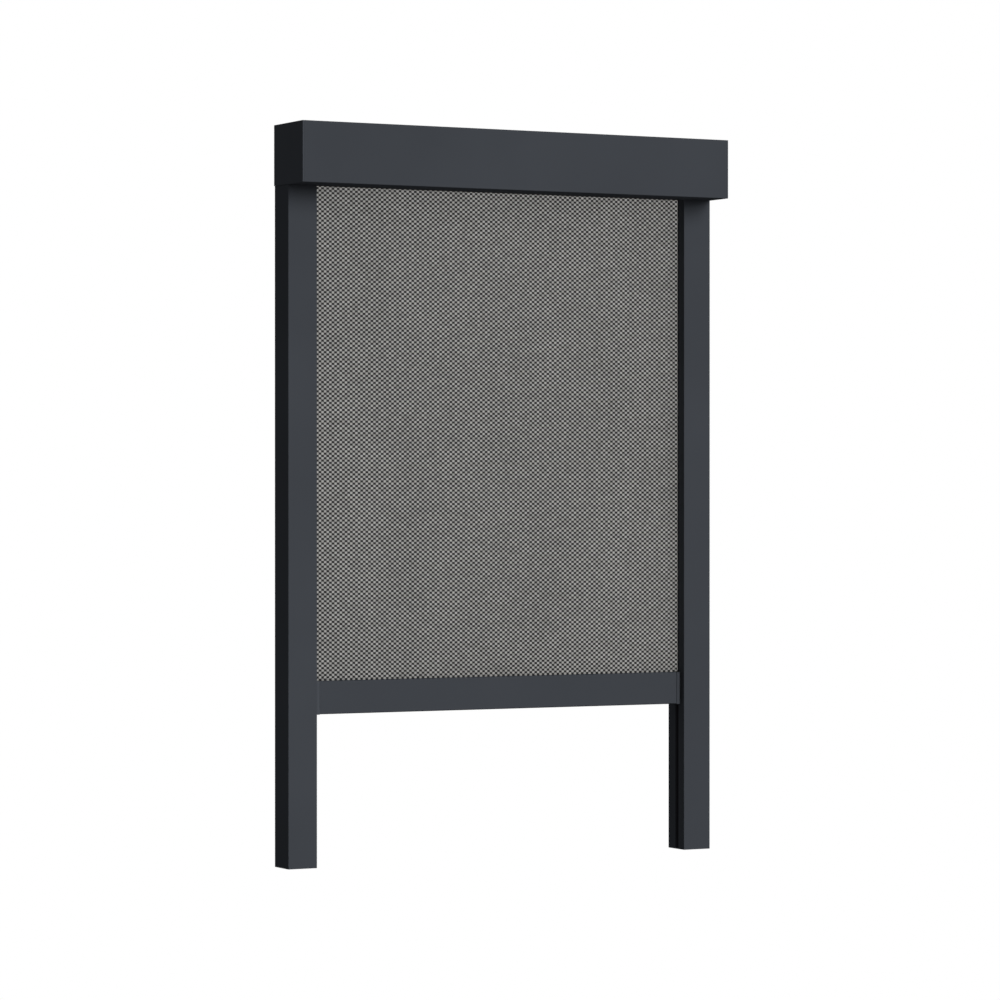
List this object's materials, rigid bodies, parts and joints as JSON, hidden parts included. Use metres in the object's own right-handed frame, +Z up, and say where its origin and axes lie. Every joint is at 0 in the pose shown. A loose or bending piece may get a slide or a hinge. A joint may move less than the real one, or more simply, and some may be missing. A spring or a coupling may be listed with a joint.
{
  "type": "exterior roller blind",
  "caption": "Motorised outdoor roller screen: square headbox, zip-guided fabric in two side guides, weighted bottom bar.",
  "frame": {"origin": "centre of the headbox's back face, on the wall", "axes": "+X along the blind to the right seen from outside, +Y into the wall, +Z up; the front looks along -Y"},
  "size_m": [0.807, 0.11, 1.22],
  "materials": {
    "anthracite_coat": "fine satin powder coat, anthracite grey",
    "coated_plastic": "moulded plastic in the coat's grey",
    "coated_screws": "steel with the coat's grey",
    "zinc_steel": "zinc plated",
    "raw_steel": "mill finish",
    "galvanised_tube": "rolled galvanised sheet",
    "motor_casing": "drawn tube, brushed",
    "black_plastic": "extruded or moulded, matt black",
    "rubber": "soft black rubber",
    "screen_cloth": "coated screen weave in dark grey and pale grey",
    "zip_tape": "black woven tape with moulded teeth"
  },
  "bodies": {
    "frame": {"box_rear_profile": "anthracite_coat", "box_front_cover": "anthracite_coat", "box_end_cap_left": "anthracite_coat", "box_end_cap_right": "anthracite_coat", "box_cap_screws": "coated_screws", "cover_screws": "coated_screws", "bracket_bolts": "zinc_steel", "cable_grommet": "rubber", "motor_bracket": "zinc_steel", "tubular_motor": "motor_casing", "motor_head": "black_plastic", "motor_clip": "zinc_steel", "idler_bush": "black_plastic", "idler_bracket": "zinc_steel", "guide_base_left": "anthracite_coat", "guide_base_right": "anthracite_coat", "guide_cover_left": "anthracite_coat", "guide_cover_right": "anthracite_coat", "zip_insert_left": "black_plastic", "zip_insert_right": "black_plastic", "inlet_funnel_left": "black_plastic", "inlet_funnel_right": "black_plastic", "guide_end_cap_left": "coated_plastic", "guide_end_cap_right": "coated_plastic", "guide_cap_screws": "coated_screws", "bar_stop_left": "rubber", "bar_stop_right": "rubber", "screen_fabric": "screen_cloth", "zip_tape_left": "zip_tape", "zip_tape_right": "zip_tape"},
    "roller": {"roller_tube": "galvanised_tube", "tube_keder": "zip_tape", "wound_fabric": "screen_cloth", "motor_crown": "black_plastic", "drive_wheel": "black_plastic", "motor_shaft": "zinc_steel", "idler_plug": "black_plastic", "idler_pin": "zinc_steel", "idler_clip": "zinc_steel"},
    "bar": {"bottom_bar": "anthracite_coat", "bar_keder": "zip_tape", "bar_weight": "raw_steel", "bar_seal": "rubber", "bar_end_cap_left": "coated_plastic", "bar_end_cap_right": "coated_plastic", "bar_cap_screws": "zinc_steel"}
  },
  "joints": [
    {"name": "bar_slide", "type": "slide", "parent": "frame", "child": "bar", "axis": [0, 0, 1], "range_m": [-0.245, 0.839], "deforming": ["screen_fabric", "zip_tape_left", "zip_tape_right"]},
    {"name": "roller_spin", "type": "hinge", "parent": "frame", "child": "roller", "pos_m": [0, -0.0624, 0.006], "axis": [1, 0, 0], "range_deg": [-416, 1420]}
  ],
  "couplings": [
    {"joint": "roller_spin", "follows": "bar_slide", "rad_per_m": 29.498}
  ]
}
